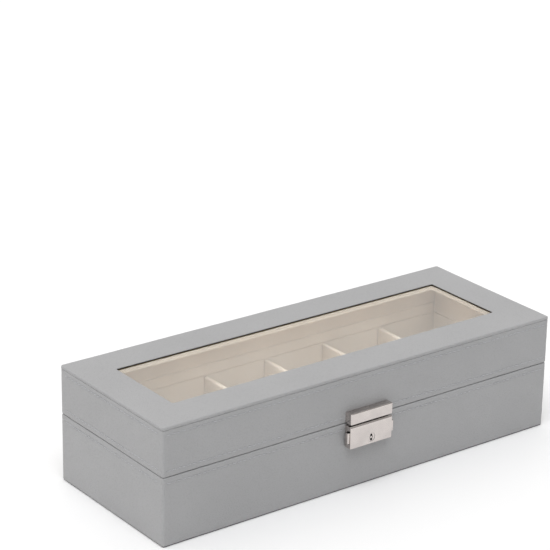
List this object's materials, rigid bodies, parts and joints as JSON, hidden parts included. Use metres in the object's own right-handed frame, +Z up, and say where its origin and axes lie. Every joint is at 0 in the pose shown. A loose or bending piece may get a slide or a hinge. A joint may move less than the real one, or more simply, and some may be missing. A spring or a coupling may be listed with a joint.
{
  "type": "travel jewelry case",
  "caption": "Oblong hinged jewelry and watch case in grey leather, with a glass window in the lid, velvet slots with lift-out cushions, and a push-button key lock.",
  "frame": {"origin": "centre of the underside", "axes": "+X along the case, +Y towards the hinge at the back, +Z up; the lock faces -Y"},
  "size_m": [0.3, 0.1168, 0.077],
  "materials": {
    "leather": "fine-grained matte",
    "velvet": "short-pile velvet on card",
    "cushion_velvet": "short-pile velvet over foam",
    "fibreboard": "raw",
    "felt": "felt",
    "glass": "clear polished",
    "nickel": "polished nickel plate",
    "steel": "bright steel"
  },
  "bodies": {
    "base": {"base_back_liner": "velvet", "base_back_wall": "fibreboard", "base_front_liner": "velvet", "base_front_wall": "fibreboard", "base_leather": "leather", "base_left_liner": "velvet", "base_left_wall": "fibreboard", "base_right_liner": "velvet", "base_right_wall": "fibreboard", "bottom_board": "fibreboard", "bottom_pad": "felt", "divider_1": "velvet", "divider_2": "velvet", "divider_3": "velvet", "divider_4": "velvet", "divider_5": "velvet", "floor_liner": "velvet", "hinge_leather": "leather", "hinge_velvet": "velvet", "lock_back_plate": "nickel", "lock_case": "nickel", "lock_screws": "steel", "lock_spring": "steel"},
    "lid": {"glass_pane": "glass", "lid_back_liner": "velvet", "lid_back_wall": "fibreboard", "lid_frame_board": "fibreboard", "lid_front_liner": "velvet", "lid_front_wall": "fibreboard", "lid_leather": "leather", "lid_left_liner": "velvet", "lid_left_wall": "fibreboard", "lid_right_liner": "velvet", "lid_right_wall": "fibreboard", "lid_top_card": "fibreboard", "lid_top_leather": "leather", "lid_velvet_frame": "velvet", "strike_cap": "nickel", "strike_plate": "nickel", "strike_screws": "steel"},
    "button_left": {"button_left": "nickel"},
    "button_right": {"button_right": "nickel"},
    "key_plug": {"key_plug": "nickel", "key_cam": "steel"},
    "cushion_1": {"cushion_1": "cushion_velvet"},
    "cushion_2": {"cushion_2": "cushion_velvet"},
    "cushion_3": {"cushion_3": "cushion_velvet"},
    "cushion_4": {"cushion_4": "cushion_velvet"},
    "cushion_5": {"cushion_5": "cushion_velvet"},
    "cushion_6": {"cushion_6": "cushion_velvet"}
  },
  "joints": [
    {"name": "lid_hinge", "type": "hinge", "parent": "base", "child": "lid", "pos_m": [0, 0.0555, 0.045], "axis": [-1, 0, 0], "range_deg": [0, 100], "deforming": ["hinge_leather", "hinge_velvet"]},
    {"name": "button_left_press", "type": "slide", "parent": "base", "child": "button_left", "axis": [1, 0, 0], "range_m": [0, 0.0012], "stiffness_N_per_m": 250, "springref_m": -0.002, "deforming": ["lock_spring"]},
    {"name": "button_right_press", "type": "slide", "parent": "base", "child": "button_right", "axis": [-1, 0, 0], "range_m": [0, 0.0012], "stiffness_N_per_m": 250, "springref_m": -0.002, "deforming": ["lock_spring"]},
    {"name": "key_turn", "type": "hinge", "parent": "base", "child": "key_plug", "pos_m": [0, -0.0605, 0.0337], "axis": [0, 1, 0], "range_deg": [0, 90]},
    {"name": "cushion_1_lift", "type": "slide", "parent": "base", "child": "cushion_1", "axis": [0, 0, 1], "range_m": [0, 0.027]},
    {"name": "cushion_2_lift", "type": "slide", "parent": "base", "child": "cushion_2", "axis": [0, 0, 1], "range_m": [0, 0.027]},
    {"name": "cushion_3_lift", "type": "slide", "parent": "base", "child": "cushion_3", "axis": [0, 0, 1], "range_m": [0, 0.027]},
    {"name": "cushion_4_lift", "type": "slide", "parent": "base", "child": "cushion_4", "axis": [0, 0, 1], "range_m": [0, 0.027]},
    {"name": "cushion_5_lift", "type": "slide", "parent": "base", "child": "cushion_5", "axis": [0, 0, 1], "range_m": [0, 0.027]},
    {"name": "cushion_6_lift", "type": "slide", "parent": "base", "child": "cushion_6", "axis": [0, 0, 1], "range_m": [0, 0.027]}
  ]
}
